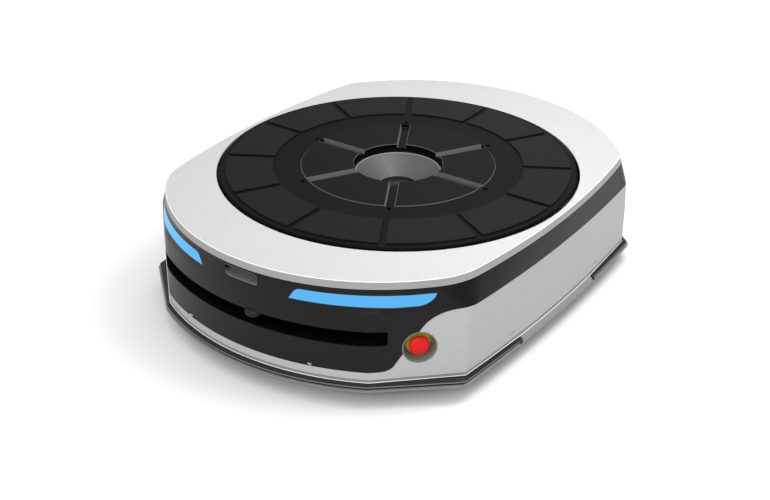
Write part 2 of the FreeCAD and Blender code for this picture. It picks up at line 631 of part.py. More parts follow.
def make_table():
    """Turntable plate: a dished revolve with ribs below, a seat for the hub and bolt holes."""
    rim = 4.0
    plate = spun([(HUB_HOLE_R, TABLE_BASE), (200, TABLE_BASE), (228, 262), (TABLE_R - 6, 262),
                  (TABLE_R, 264), (TABLE_R, TABLE_FLOOR - rim), (TABLE_R - 1.2, TABLE_FLOOR - 1.2),
                  (TABLE_R - rim, TABLE_FLOOR), (HUB_R + GAP, TABLE_FLOOR), (HUB_R + GAP, HUB_BASE),
                  (HUB_HOLE_R, HUB_BASE)])
    ribs = []
    for k in range(PAD_COUNT):
        web = prism([V(206, -3, 256), V(206, -3, 258.5), V(230, -3, 262.5), V(378, -3, 262.5),
                     V(378, -3, 260)], V(0, 6, 0))
        web.rotate(ORIGIN, Z, 360 / PAD_COUNT * (k + 0.5))
        ribs.append(web)
    plate = fused([plate] + ribs)
    for k in range(SLOT_COUNT):
        angle = math.radians(360 / SLOT_COUNT * k)
        spot = V(BOLT_CIRCLE_R * math.cos(angle), BOLT_CIRCLE_R * math.sin(angle), 0)
        plate = plate.cut(rod(BOLT_R, spot + Z * 240, spot + Z * 280))
    save(plate, "turntable_plate")

    hub = spun([(HUB_HOLE_R, HUB_BASE), (HUB_R, HUB_BASE), (HUB_R, HUB_TOP - 1.2),
                (HUB_R - 1.8, HUB_TOP), (HUB_HOLE_R + 1.2, HUB_TOP), (HUB_HOLE_R, HUB_TOP - 1.2)])
    for k in range(SLOT_COUNT):
        channel = box(80, HUB_R + 5, -SLOT_WIDTH / 2, SLOT_WIDTH / 2, SLOT_FLOOR, HUB_TOP + 5)
        channel.rotate(ORIGIN, Z, 360 / SLOT_COUNT * k)
        hub = hub.cut(channel)
    save(hub, "turntable_hub")

    # Pads: sectors of a ring with a lane of constant width between them.
    sector = spun([(PAD_R_IN, TABLE_FLOOR), (PAD_R_OUT, TABLE_FLOOR), (PAD_R_OUT, PAD_TOP - 0.8),
                   (PAD_R_OUT - 0.8, PAD_TOP), (PAD_R_IN + 0.8, PAD_TOP), (PAD_R_IN, PAD_TOP - 0.8)])
    step = math.radians(360 / PAD_COUNT)
    lane = PAD_SPACE / 2
    apex = V(lane / math.tan(step / 2), lane, 0)
    reach = 900.0
    wedge = prism([apex + V(0, 0, 260), V(reach, lane, 260),
                   V(reach * math.cos(step) + lane * math.sin(step),
                     reach * math.sin(step) - lane * math.cos(step), 260)], V(0, 0, 30))
    pad = sector.common(wedge)
    pads = []
    for k in range(PAD_COUNT):
        turned = pad.copy()
        turned.rotate(ORIGIN, Z, 360 / PAD_COUNT * k)
        pads.append(turned)
    save(Part.Compound(pads), "turntable_pads")


def make_inside():
    top = CHASSIS_Z + CHASSIS_T
    pack = rounded_box(0, 268, 236, 290, 14, top, 204)
    save(pack, "battery_pack")
    unit = rounded_box(0, -268, 236, 280, 8, top, 196)
    fins = [box(-104 + 16 * k, -98 + 16 * k, -390, -150, 190, 200) for k in range(13)]
    save(unit.cut(Part.Compound(fins)), "control_unit")
    down = spun([(22, 60), (30, 60), (34, 66), (34, 126), (28, 132), (0, 132), (0, 64), (14, 64)])
    save(down, "floor_camera")


os.makedirs("parts", exist_ok=True)
make_covers()
make_deck()
make_grip()
save(Part.Compound(make_clips()), "fascia_clips")
make_scan_bay()
make_scanner()
make_stops()
make_tray()
make_bumpers()
make_chassis()
make_drives()
make_casters()
make_lift()
make_table()
make_inside()
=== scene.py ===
"""Looks of the lifting robot: finishes, fine pieces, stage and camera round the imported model."""

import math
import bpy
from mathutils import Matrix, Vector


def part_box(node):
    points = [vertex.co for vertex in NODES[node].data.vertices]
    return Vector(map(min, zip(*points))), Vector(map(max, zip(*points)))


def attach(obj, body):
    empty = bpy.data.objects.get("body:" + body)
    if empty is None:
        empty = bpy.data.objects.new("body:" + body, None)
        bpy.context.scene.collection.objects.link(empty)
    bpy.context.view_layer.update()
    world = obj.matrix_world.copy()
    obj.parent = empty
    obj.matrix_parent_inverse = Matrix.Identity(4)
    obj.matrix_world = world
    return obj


bl_info = {
    "name": "Lifting robot dressing",
    "version": (1, 0, 0),
    "blender": (4, 5, 0),
    "location": "View3D > Sidebar > Robot",
    "description": "Dresses the packed lifting robot with finishes, fine pieces, stage and camera",
    "category": "Object",
}

import bpy
import numpy as np
from mathutils import Matrix, Vector

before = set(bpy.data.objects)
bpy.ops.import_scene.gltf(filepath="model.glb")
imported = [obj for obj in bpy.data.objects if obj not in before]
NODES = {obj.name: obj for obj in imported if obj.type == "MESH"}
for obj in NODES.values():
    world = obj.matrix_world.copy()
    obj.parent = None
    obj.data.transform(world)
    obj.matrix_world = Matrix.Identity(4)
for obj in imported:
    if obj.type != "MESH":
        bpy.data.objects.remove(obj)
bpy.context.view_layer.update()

# Measures that the finishes and fine pieces follow, in metres.
MM = 0.001
DECK_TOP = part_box("deck_cover")[1][2]
FASCIA_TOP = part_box("front_fascia")[1][2]
HUB_RADIUS, HUB_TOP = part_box("turntable_hub")[1][0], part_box("turntable_hub")[1][2]
FUNNEL_FOOT, FUNNEL_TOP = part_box("camera_funnel")[0][2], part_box("camera_funnel")[1][2]
BUMPER_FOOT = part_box("bumper_front")[0][2]
LAMP_MIDDLE = 225.8 * MM
DECK_OPENING = 397.5 * MM            # the deck's inner edge is inside this radius
LEDGE = 52.9 * MM                    # height of the tray's ledge
SLOT_COUNT, SLOT_HALF = 6, 10.0 * MM
HUB_HOLE = 97.5 * MM
SCREW_RING, SCREW_RADIUS = 204.0 * MM, 2.4 * MM
BOLT_RING, BOLT_RADIUS = 224.0 * MM, 5.6 * MM
GRIP_FOOT, GRIP_TOP, GRIP_HALF = 220.0 * MM, 246.0 * MM, 44.0 * MM
GRIP_LEAN = 0.154                    # inward lean of the grip's sides
FUNNEL_SEAM = math.radians(153.0)    # direction of the funnel's seam round the axis


# --- shader arithmetic --------------------------------------------------------------------

class Val:
    """A shader socket, or a number, that takes part in Python arithmetic."""

    def __init__(self, paint, socket):
        self.paint = paint
        self.socket = socket

    def _math(self, operation, *values):
        return self.paint.node("ShaderNodeMath", {"operation": operation}, dict(enumerate(values)))

    def __add__(self, other):
        return self._math("ADD", self, other)

    def __radd__(self, other):
        return self._math("ADD", other, self)

    def __sub__(self, other):
        return self._math("SUBTRACT", self, other)

    def __rsub__(self, other):
        return self._math("SUBTRACT", other, self)

    def __mul__(self, other):
        return self._math("MULTIPLY", self, other)

    def __abs__(self):
        return self._math("ABSOLUTE", self)

    def step(self, low, high):
        """0 below low, 1 above high, smooth between."""
        return self.paint.node("ShaderNodeMapRange", {"interpolation_type": "SMOOTHSTEP"},
                               {"Value": self, "From Min": low, "From Max": high})

    def within(self, low, high, soft):
        """1 between low and high, 0 outside them, with edges of width soft."""
        return self.step(low - soft, low) * (1.0 - self.step(high, high + soft))

    def at_most(self, other):
        return self._math("MINIMUM", self, other)

    def at_least(self, other):
        return self._math("MAXIMUM", self, other)

    def root(self):
        return self._math("SQRT", self)


class Paint:
    """A material being written: one Principled shader and the nodes that feed it."""

    def __init__(self, name, **shader):
        self.material = bpy.data.materials.new(name)
        self.material.use_nodes = True
        self.tree = self.material.node_tree
        self.shader = self.tree.nodes["Principled BSDF"]
        for key, value in shader.items():
            self.shader.inputs[key.replace("_", " ")].default_value = value

    @classmethod
    def on_tree(cls, tree):
        """Writes on a node tree that isn't a material's."""
        paint = cls.__new__(cls)
        paint.tree = tree
        return paint

    def node(self, kind, settings=None, inputs=None, out=0):
        """Adds a node: settings first, then its sockets' values or links; returns one output."""
        made = self.tree.nodes.new(kind)
        for key, value in (settings or {}).items():
            setattr(made, key, value)
        for key, value in (inputs or {}).items():
            self.link(value, made.inputs[key])
        return Val(self, made.outputs[out])

    def link(self, value, socket):
        """Joins a value to a socket, or sets the socket's own value."""
        if isinstance(value, Val):
            self.tree.links.new(value.socket, socket)
        else:
            if socket.type == "RGBA" and len(value) == 3:
                value = (*value, 1.0)
            socket.default_value = value

    def feed(self, **sockets):
        """Feeds sockets of the Principled shader, named with underscores."""
        for key, value in sockets.items():
            self.link(value, self.shader.inputs[key.replace("_", " ")])

    def place(self):
        """Object coordinates, in metres."""
        return self.node("ShaderNodeTexCoord", out=3)

    def axes(self):
        """The three object coordinates as separate values."""
        split = self.tree.nodes.new("ShaderNodeSeparateXYZ")
        self.link(self.place(), split.inputs[0])
        return [Val(self, split.outputs[i]) for i in range(3)]

    def noise(self, scale, detail=2.0, rough=0.5, stretch=(1, 1, 1)):
        """Fractal noise around 0.5 on object coordinates; scale is in cells a metre."""
        where = self.place()
        if stretch != (1, 1, 1):
            where = self.node("ShaderNodeMapping", None, {"Vector": where, "Scale": stretch})
        return self.node("ShaderNodeTexNoise", None,
                         {"Vector": where, "Scale": scale, "Detail": detail, "Roughness": rough})

    def blend(self, factor, first, second):
        """Colour mix from first to second."""
        return self.node("ShaderNodeMix", {"data_type": "RGBA"},
                         {0: factor, 6: first, 7: second}, out=2)

    def bump(self, height, strength, distance):
        """Raises the surface by a height of 0 to 1 times distance, and returns the material."""
        self.link(self.node("ShaderNodeBump", None,
                            {"Strength": strength, "Distance": distance, "Height": height}),
                  self.shader.inputs["Normal"])
        return self.material


def least(values):
    """Smallest of several values."""
    first, *others = values
    for other in others:
        first = first.at_most(other)
    return first


def distance(x, y):
    """Distance from the origin of a place in a plane."""
    return (x * x + y * y).root()


def grey(level):
    """Colour without hue."""
    return (level, level, level)


def shade(colour, factor):
    """A colour made darker or lighter by a factor."""
    return tuple(min(1.0, c * factor) for c in colour[:3])


# --- settings -----------------------------------------------------------------------------

def colour_prop(name, description, default):
    return bpy.props.FloatVectorProperty(name=name, description=description, default=default,
                                         subtype="COLOR", size=3, min=0.0, max=1.0)


def number_prop(name, description, default, low, high, subtype="NONE", unit="NONE"):
    return bpy.props.FloatProperty(name=name, description=description, default=default,
                                   min=low, max=high, subtype=subtype, unit=unit)


def factor_prop(name, description, default):
    return number_prop(name, description, default, 0.0, 1.0, subtype="FACTOR")


def power_prop(name, description, default):
    return number_prop(name, description, default, 0.0, 1000.0, unit="POWER")


class ROBOT_PG_finish(bpy.types.PropertyGroup):
    """Colours of the robot's finishes"""
    deck: colour_prop("Deck paint", "Pale speckled paint of the deck", (0.39, 0.397, 0.393))
    body: colour_prop("Body paint", "Speckled paint of the body shell", (0.425, 0.432, 0.428))
    tray: colour_prop("Tray paint", "Paint of the bottom tray", (0.215, 0.218, 0.215))
    fascia: colour_prop("Fascia", "Black moulded covers", (0.0040, 0.0040, 0.0042))
    lamp: colour_prop("Lamp", "Light given off by the lamp strips", (0.098, 0.468, 0.896))
    table: colour_prop("Turntable", "Black coat of the turntable", (0.0035, 0.0035, 0.0037))
    pad: colour_prop("Pads", "Rubber of the raised pads", (0.0055, 0.0055, 0.0057))
    bumper: colour_prop("Bumper", "Rubber of the bumpers", (0.005, 0.005, 0.0052))
    stop: colour_prop("Stop head", "Red of the stop heads", (0.66, 0.009, 0.009))
    hub: colour_prop("Hub", "Black coat of the slotted hub", (0.0050, 0.0050, 0.0052))
    # near-white of the edge beads: a painted highlight on the rounded edges
    edge: colour_prop("Edges", "Paint on the covers' rounded edges", (0.95, 0.95, 0.95))
    ring: colour_prop("Stop ring", "Yellow of the rings behind the stop heads", (0.40, 0.30, 0.004))
    speckle: factor_prop("Speckle", "Strength of the paint's fine speckle", 0.26)


class ROBOT_PG_stage(bpy.types.PropertyGroup):
    """Lights, floor and lens of the stage"""
    zenith: number_prop("Zenith", "Strength of the sky overhead", 1.40, 0.0, 5.0)
    horizon: number_prop("Horizon", "Strength of the sky at the horizon", 0.25, 0.0, 5.0)
    key: power_prop("Key light", "Power of the soft light before the robot", 40.0)
    side: power_prop("Side light", "Power of the soft light over the robot's right side", 15.0)
    glint: power_prop("Glint", "Power of the low light behind, mirrored in the pads", 2.5)
    floor: factor_prop("Floor", "Reflectance of the floor as seen", 0.74)
    bounce: factor_prop("Bounce", "Reflectance of the floor to light that it passes on", 0.42)
    lens: number_prop("Lens", "Focal length on a 36 mm wide sensor", 60.78, 10.0, 300.0)


# --- finishes -----------------------------------------------------------------------------

def speckled(name, colour, amount, lines=None):
    """Powder coat: fine light and dark flecks over a slow drift of tone."""
    p = Paint(name)
    fine = p.noise(360.0, 3.0, 0.75)
    drift = p.noise(6.0, 2.0)
    tone = (fine - 0.5) * amount * 2.0 + (drift - 0.5) * 0.03
    coat = p.blend(tone + 0.5, shade(colour, 0.5), shade(colour, 1.5))
    if lines:
        coat = lines(p, coat)
    p.feed(Base_Color=coat, Roughness=0.42 + fine * 0.12)
    return p.bump(fine, 0.15, 0.4 * MM)


def moulded(name, colour, roughness=0.36, grain=0.05, specular=0.5, lines=None,
            glow=(0.0, 0.0, 0.0, 1.0)):
    """Moulded plastic or rubber with a fine spark-eroded grain and a trace of handling marks."""
    p = Paint(name, Specular_IOR_Level=specular, Emission_Strength=1.0, Emission_Color=glow)
    fine = p.noise(1400.0, 2.0)
    smear = p.noise(14.0, 3.0, 0.6)
    coat = p.blend(smear, shade(colour, 0.9), shade(colour, 1.1))
    if lines:
        coat = lines(p, coat)
    p.feed(Base_Color=coat, Roughness=roughness - 0.03 + smear * 0.06)
    return p.bump(fine, grain, 0.2 * MM)


def machined(name, colour, roughness):
    """Turned or milled metal: fine parallel tool marks."""
    p = Paint(name, Metallic=1.0)
    line = p.noise(60.0, 4.0, 0.6, (1.0, 1.0, 14.0))
    p.feed(Base_Color=p.blend(line, shade(colour, 0.85), shade(colour, 1.1)),
           Roughness=roughness - 0.06 + line * 0.12)
    return p.bump(line, 0.06, 0.2 * MM)


def lit_lens(name, colour):
    """Diffuser lit from behind: even glow, a little brighter along its upper and lower edges."""
    p = Paint(name, Roughness=0.3, Emission_Strength=1.0, Specular_IOR_Level=0.1)
    _, _, z = p.axes()
    edge = abs(z - LAMP_MIDDLE).step(9.5 * MM, 12.0 * MM)
    cell = p.noise(55.0, 2.0)
    p.feed(Base_Color=(0.0, 0.0, 0.0),
           Emission_Color=p.blend(edge * 0.6 + cell * 0.1, colour, shade(colour, 1.25)))
    return p.material


def clear(name, colour):
    """Dark coated glass."""
    p = Paint(name, Roughness=0.06, Coat_Weight=0.6)
    ripple = p.noise(40.0)
    p.feed(Base_Color=p.blend(ripple, shade(colour, 0.9), shade(colour, 1.1)))
    return p.material


def six_dots(p, coat, ring, radius):
    """Painted shade: black dots on a circle round the turntable's axis, one at each slot's
    direction, for the shade in small holes.
    """
    x, y, _ = p.axes()
    turns = [2 * math.pi * k / SLOT_COUNT for k in range(SLOT_COUNT)]
    off = least([distance(x - ring * math.cos(t), y - ring * math.sin(t)) for t in turns])
    return p.blend(off.step(radius, radius + 0.6 * MM), grey(0.0005), coat)


def hub_lines(p, coat):
    """Painted highlights on the hub's rim and the edge of its hole, painted light on its slot
    walls, black dots of painted shade at its screw holes, and the shade in its hole.
    """
    x, y, z = p.axes()
    r = distance(x, y)
    turns = [2 * math.pi * k / SLOT_COUNT for k in range(SLOT_COUNT // 2)]
    off = least([abs(abs(x * math.sin(t) - y * math.cos(t)) - SLOT_HALF) for t in turns])
    # painted light: the slot walls are painted pale in place of the light falling on them
    wall = (1.0 - off.step(0.7 * MM, 1.5 * MM)) * r.step(HUB_HOLE - 1.5 * MM, HUB_HOLE + 1.0 * MM)
    wall = wall * (1.0 - z.step(HUB_TOP - 0.7 * MM, HUB_TOP + 0.1 * MM) * 0.55)
    # painted highlights along the hub's rim and the upper edge of its hole
    rim = r.within(HUB_RADIUS - 1.2 * MM, HUB_RADIUS + 1.0 * MM, 0.4 * MM) * 0.5
    lip = 1.0 - r.step(HUB_HOLE + 0.8 * MM, HUB_HOLE + 1.5 * MM)
    lip = lip * z.step(HUB_TOP - 1.5 * MM, HUB_TOP - 0.9 * MM) * 0.5
    coat = p.blend(wall.at_least(rim).at_least(lip), coat, grey(0.14))
    # painted shade: black dots for the small screw holes
    coat = six_dots(p, coat, SCREW_RING, SCREW_RADIUS)
    bore = 1.0 - r.step(HUB_HOLE + 0.3 * MM, HUB_HOLE + 0.9 * MM)
    bore = bore * (1.0 - z.step(HUB_TOP - 1.7 * MM, HUB_TOP - 1.1 * MM))
    return p.blend(bore, coat, grey(0.002))


def plate_lines(p, coat):
    """Painted shade in the countersinks of the six bolt holes."""
    return six_dots(p, coat, BOLT_RING, BOLT_RADIUS)


def deck_lines(p, coat):
    """Painted shade: the coat is made darker on the border's slope."""
    _, _, z = p.axes()
    # painted shade: the slope below the deck's top is blended toward black
    slope_shade = 1.0 - z.step(DECK_TOP - 2.5 * MM, DECK_TOP - 1.0 * MM)
    return p.blend(slope_shade * 0.24, coat, grey(0.0))


def fascia_lines(p, coat):
    """Painted shade: black shadow lines in the gap under the deck's border and round the grip."""
    x, y, z = p.axes()
    side = GRIP_HALF - (GRIP_TOP - z) * GRIP_LEAN
    across = (abs(x) - side).at_least(GRIP_FOOT - z)
    front = 1.0 - y.step(-400.0 * MM, -390.0 * MM)
    # painted shadow in the gap round the grip
    shadow_gap = (1.0 - abs(across).step(2.0 * MM, 2.6 * MM)) * front
    shadow_gap = shadow_gap * z.step(GRIP_FOOT - 2.0 * MM, GRIP_FOOT - 1.5 * MM)
    # painted shadow in the gap under the deck's border
    seam = z.step(FASCIA_TOP - 2.2 * MM, FASCIA_TOP - 1.4 * MM)
    return p.blend(seam.at_least(shadow_gap), coat, grey(0.0005))


def bumper_lines(p, coat):
    """Painted highlight on the ridge, and painted shade in the groove below it."""
    _, _, z = p.axes()
    # painted highlight along the ridge
    ridge_highlight = z.within(BUMPER_FOOT + 3.9 * MM, BUMPER_FOOT + 6.2 * MM, 0.4 * MM)
    coat = p.blend(ridge_highlight, coat, grey(0.15))
    # painted shade in the groove below the ridge
    groove_shade = 1.0 - z.step(BUMPER_FOOT + 3.2 * MM, BUMPER_FOOT + 3.8 * MM)
    return p.blend(groove_shade, coat, grey(0.002))


def grip_lines(p, coat):
    """Painted shade in the gap round the grip, and painted light on its upward-facing floor."""
    x, _, z = p.axes()
    # painted shadow in the gap at the grip's sides and foot
    foot = 1.0 - z.step(GRIP_FOOT + 1.2 * MM, GRIP_FOOT + 1.8 * MM)
    shadow_gap = abs(x).step(GRIP_HALF - 4.8 * MM, GRIP_HALF - 4.0 * MM).at_least(foot)
    # painted light: the floor, which faces up, is painted paler
    floor = 1.0 - z.step(GRIP_FOOT + 9.0 * MM, GRIP_FOOT + 10.0 * MM)
    return p.blend(shadow_gap, p.blend(floor, coat, grey(0.10)), grey(0.002))


def funnel_lines(p, coat):
    """The funnel's rim painted pale as a highlight, a soft seam down its wall and the shade at its
    foot.
    """
    x, y, z = p.axes()
    # painted highlight along the funnel's rim
    coat = p.blend(z.step(FUNNEL_TOP - 1.7 * MM, FUNNEL_TOP - 0.7 * MM), coat, grey(0.16))
    off = abs(x * math.sin(FUNNEL_SEAM) - y * math.cos(FUNNEL_SEAM))
    ahead = x * math.cos(FUNNEL_SEAM) + y * math.sin(FUNNEL_SEAM)
    seam = (1.0 - off.step(0.8 * MM, 6.0 * MM)) * ahead.step(0.0, 10.0 * MM) * 0.6
    coat = p.blend(seam, coat, grey(0.03))
    shade_below = 1.0 - z.step(FUNNEL_FOOT + 11.0 * MM, FUNNEL_FOOT + 12.0 * MM)
    return p.blend(shade_below, coat, grey(0.02))


def pair(stem):
    """Names of the left and right node of a kind."""
    return stem + "_left", stem + "_right"


def all_of(start):
    """Names of the nodes that start alike."""
    return [name for name in NODES if name.startswith(start)]


def dress(material, *names):
    """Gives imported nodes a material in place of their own."""
    for name in names:
        slots = NODES[name].data.materials
        slots.clear()
        slots.append(material)


class ROBOT_OT_finishes(bpy.types.Operator):
    """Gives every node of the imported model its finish"""
    bl_idname = "robot.finishes"
    bl_label = "Finishes"

    def execute(self, context):
        f = context.scene.robot_finish
        dress(speckled("deck_paint", f.deck, f.speckle, lines=deck_lines), "deck_cover")
        dress(speckled("body_paint", f.body, f.speckle), "body_shell")
        dress(speckled("tray_paint", f.tray, f.speckle), "base_tray")
        dress(moulded("fascia_black", f.fascia, 0.34, specular=0.18, lines=fascia_lines),
              "front_fascia", "rear_fascia", *pair("side_band"))
        dress(lit_lens("lamp_blue", f.lamp), *pair("lamp_front"), *pair("lamp_rear"))
        dress(moulded("bay_black", grey(0.001), 0.9, specular=0.05), "scan_bay")
        dress(moulded("grip_grey", grey(0.05), 0.5, specular=0.3, lines=grip_lines), "front_grip")
        dress(moulded("bumper_rubber", f.bumper, 0.45, 0.1, specular=0.25, lines=bumper_lines),
              "bumper_front", "bumper_rear")
        dress(moulded("cap_black", grey(0.004), 0.4), "bumper_caps_front", "bumper_caps_rear")
        dress(moulded("table_black", f.table, 0.5, 0.1, specular=0.03, lines=plate_lines),
              "turntable_plate")
        dress(moulded("hub_black", f.hub, 0.5, 0.1, specular=0.03, lines=hub_lines),
              "turntable_hub")
        dress(moulded("pad_rubber", f.pad, 0.5, 0.2, specular=0.05), "turntable_pads")
        dress(speckled("funnel_grey", grey(0.046), 0.04, lines=funnel_lines), "camera_funnel")
        dress(moulded("stop_red", f.stop, 0.5, 0.02, specular=0.2), *pair("stop_head"))
        dress(moulded("stop_yellow", f.ring, 0.5, 0.02), *pair("stop_ring"))
        dress(moulded("recess_grey", (0.17, 0.155, 0.14), 0.5), *pair("stop_cup"))
        dress(moulded("scanner_brown", (0.02, 0.018, 0.016), 0.35), "scanner_rotor", "scanner_body")
        dress(moulded("housing_black", (0.012, 0.012, 0.013), 0.45), *pair("drive_unit"),
              "floor_camera", "lift_camera", "slewing_motor")
        dress(moulded("tread_grey", grey(0.05), 0.7, 0.2), *pair("drive_tyre"),
              *all_of("caster_wheel_"))
        dress(machined("cast_metal", (0.45, 0.46, 0.47), 0.45), *pair("drive_hub"), "control_unit")
        dress(machined("steel", (0.5, 0.5, 0.51), 0.32), "lift_rods", "slewing_race",
              "slewing_gear", "slewing_pinion", "caster_bolts", "fascia_clips")
        dress(machined("dark_steel", (0.1, 0.1, 0.105), 0.4), "caster_plates",
              *all_of("caster_fork_"))
        dress(speckled("frame_grey", (0.26, 0.27, 0.28), 0.06), "chassis_frame",
              "lift_platform", "lift_cylinders")
        dress(speckled("pack_grey", (0.14, 0.14, 0.15), 0.06), "battery_pack")
        dress(clear("lens_glass", (0.004, 0.005, 0.007)), "camera_lens")
        return {"FINISHED"}


# --- fine pieces --------------------------------------------------------------------------

def faces_of(node):
    """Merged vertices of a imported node, in metres, its triangles and their normals."""
    mesh = NODES[node].data
    mesh.calc_loop_triangles()
    flat = np.empty(len(mesh.vertices) * 3, np.float32)
    mesh.vertices.foreach_get("co", flat)
    corners = np.empty(len(mesh.loop_triangles) * 3, np.int32)
    mesh.loop_triangles.foreach_get("vertices", corners)
    points = np.round(flat.reshape(-1, 3).astype(float), 6)
    points, where = np.unique(points, axis=0, return_inverse=True)
    triangles = where.reshape(-1)[corners].reshape(-1, 3)
    a, b, c = (points[triangles[:, i]] for i in range(3))
    normals = np.cross(b - a, c - a)
    normals /= np.maximum(np.linalg.norm(normals, axis=1), 1e-12)[:, None]
    return points, triangles, normals


def border(points, triangles):
    """Vertices on the open border of a set of triangles."""
    sides = np.sort(triangles[:, [0, 1, 1, 2, 2, 0]].reshape(-1, 2), axis=1)
    pairs, count = np.unique(sides, axis=0, return_counts=True)
    return points[np.unique(pairs[count == 1])]


def loop_round(points, axes, middle=None):
    """Points in the order of their angle round the middle, in the plane of two axes."""
    flat = points[:, axes] - (points[:, axes].mean(axis=0) if middle is None else middle)
    angle = np.round(np.arctan2(flat[:, 1], flat[:, 0]), 4)
    order = np.lexsort((-np.hypot(flat[:, 0], flat[:, 1]), angle))
    return points[order[np.concatenate(([True], np.diff(angle[order]) > 0))]]


def outermost(points):
    """Points on the convex outline seen from above, in order."""
    turn = np.linspace(0.0, 2 * math.pi, 1440, endpoint=False)
    reached = np.argmax(points[:, :2] @ np.stack([np.cos(turn), np.sin(turn)]), axis=0)
    return points[reached[np.flatnonzero(np.diff(reached, append=reached[0]))]]


def swept(name, loop, radius, material, body, sides=8):
    """Closed bead along a loop: p(i) + r (cos t n(i) + sin t m(i)), n level and m upright to it."""
    along = np.roll(loop, -1, axis=0) - np.roll(loop, 1, axis=0)
    across = np.cross(along, (0.0, 0.0, 1.0))
    across /= np.linalg.norm(across, axis=1)[:, None]
    lift = np.cross(across, along)
    lift /= np.linalg.norm(lift, axis=1)[:, None]
    t = 2 * math.pi * np.arange(sides) / sides
    ring = np.cos(t)[:, None] * across[:, None] + np.sin(t)[:, None] * lift[:, None]
    verts = (loop[:, None] + radius * ring).reshape(-1, 3)
    piece(name, verts, mesh_faces(len(loop), sides, closed=True), material, body)


def turned(name, centre, radii, heights, oval, material, body, sides=48):
    """Closed oval body (o r(i) cos t, r(i) sin t, z(i)) round an upright axis, with flat ends."""
    t = 2 * math.pi * np.arange(sides) / sides
    wide, deep = oval * radii[:, None] * np.cos(t), radii[:, None] * np.sin(t)
    rings = np.stack([centre[0] + wide, centre[1] + deep, heights[:, None] + 0 * t], axis=-1)
    last = (len(radii) - 1) * sides
    ends = [list(range(sides))[::-1], list(range(last, last + sides))]
    faces = mesh_faces(len(radii), sides, closed=False)
    piece(name, rings.reshape(-1, 3), faces, material, body, ends)


def mesh_faces(rows, sides, closed):
    """Four-sided faces between rows of points that each go round; closed joins last to first."""
    i, k = np.meshgrid(np.arange(rows if closed else rows - 1), np.arange(sides), indexing="ij")
    j, m = (i + 1) % rows, (k + 1) % sides
    quads = [i * sides + k, i * sides + m, j * sides + m, j * sides + k]
    return np.stack(quads, axis=-1).reshape(-1, 4)


def piece(name, verts, faces, material, body, ends=()):
    """New object from arrays of vertices and four-sided faces, turned outward, on its body."""
    v = verts[faces]
    area = np.cross(v[:, 1], v[:, 2]) + np.cross(v[:, 2], v[:, 3])
    volume = np.einsum("ij,ij->", v[:, 0], area)
    if volume < 0:
        faces = faces[:, ::-1]
        ends = [end[::-1] for end in ends]
    mesh = bpy.data.meshes.new(name)
    mesh.from_pydata(verts.tolist(), [], faces.tolist() + list(ends))
    mesh.shade_smooth()
    mesh.materials.append(material)
    made = bpy.data.objects.new(name, mesh)
    bpy.context.scene.collection.objects.link(made)
    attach(made, body)


class ROBOT_OT_edges(bpy.types.Operator):
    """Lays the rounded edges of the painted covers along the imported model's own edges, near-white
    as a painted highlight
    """
    bl_idname = "robot.edges"
    bl_label = "Edges"

    def execute(self, context):
        f = context.scene.robot_finish
        # painted highlight: the beads on the deck's edge and the ledge are near-white
        white = speckled("edge_white", f.edge, 0.03)
        points, triangles, normals = faces_of("deck_cover")
        flat = (normals[:, 2] > 0.99) & (points[triangles[:, 0], 2] > DECK_TOP - 0.5 * MM)
        top = border(points, triangles[flat])
        rim = loop_round(top[np.hypot(top[:, 0], top[:, 1]) > DECK_OPENING], [0, 1], (0, 0))
        swept("deck_edge", rim - (0, 0, 0.9 * MM), 1.0 * MM, white, "chassis")
        points, _, _ = faces_of("base_tray")
        ledge = points[abs(points[:, 2] - LEDGE) < 0.2 * MM]
        swept("ledge_edge", outermost(ledge), 0.9 * MM, white, "chassis")
        return {"FINISHED"}


class ROBOT_OT_lamp_seals(bpy.types.Operator):
    """Lays the thin dark seal round each lamp"""
    bl_idname = "robot.lamp_seals"
    bl_label = "Lamp seals"

    def execute(self, context):
        seal = moulded("seal_brown", (0.012, 0.004, 0.002), 0.5)
        for end in ("front", "rear"):
            for hand in ("left", "right"):
                points, triangles, normals = faces_of("lamp_" + end + "_" + hand)
                outward = normals[:, 1] * (-1 if end == "front" else 1) > 0.35
                loop = loop_round(border(points, triangles[outward]), [0, 2])
                swept("lamp_seal_" + end + "_" + hand, loop, 0.7 * MM, seal, "chassis")
        return {"FINISHED"}


WINDOW_AT = (22.0 * MM, -522.5 * MM)
WINDOW_TOP, WINDOW_SHOULDER = 165.5 * MM, 154.0 * MM
WINDOW_DEPTH, WINDOW_DOME = 14.0 * MM, 6.5 * MM
WINDOW_OVAL = 1.22                   # its width over its depth


class ROBOT_OT_window(bpy.types.Operator):
    """Hangs the scanner's dark window at the upper edge of the scan slot"""
    bl_idname = "robot.window"
    bl_label = "Scanner window"

    def execute(self, context):
        # painted light: the smoked window is given a faint glow, though it is no lamp
        smoke_and_painted_glow = moulded("window_brown", (0.010, 0.009, 0.008), 0.4, specular=0.15,
                        glow=(0.007, 0.006, 0.005, 1.0))
        turn = np.linspace(0.0, 0.47 * math.pi, 14)
        radii = WINDOW_DEPTH * np.concatenate(([1.0], np.cos(turn)))
        dome = WINDOW_SHOULDER - WINDOW_DOME * np.sin(turn)
        heights = np.concatenate(([WINDOW_TOP], dome))
        turned("scanner_window", WINDOW_AT, radii, heights, WINDOW_OVAL, smoke_and_painted_glow, "chassis")
        return {"FINISHED"}


# --- stage --------------------------------------------------------------------------------

CAMERA_AT = (1.4708, -2.1323, 1.4680)
CAMERA_AZIMUTH = math.radians(35.2162)
CAMERA_RISE = math.radians(28.6562)
CAMERA_ROLL = math.radians(-0.1679)
FLOOR_REACH = 12.0
FLOOR_FADE, FLOOR_FAR = (1.5, 4.0), 0.95    # where the floor turns paler, and its far tone


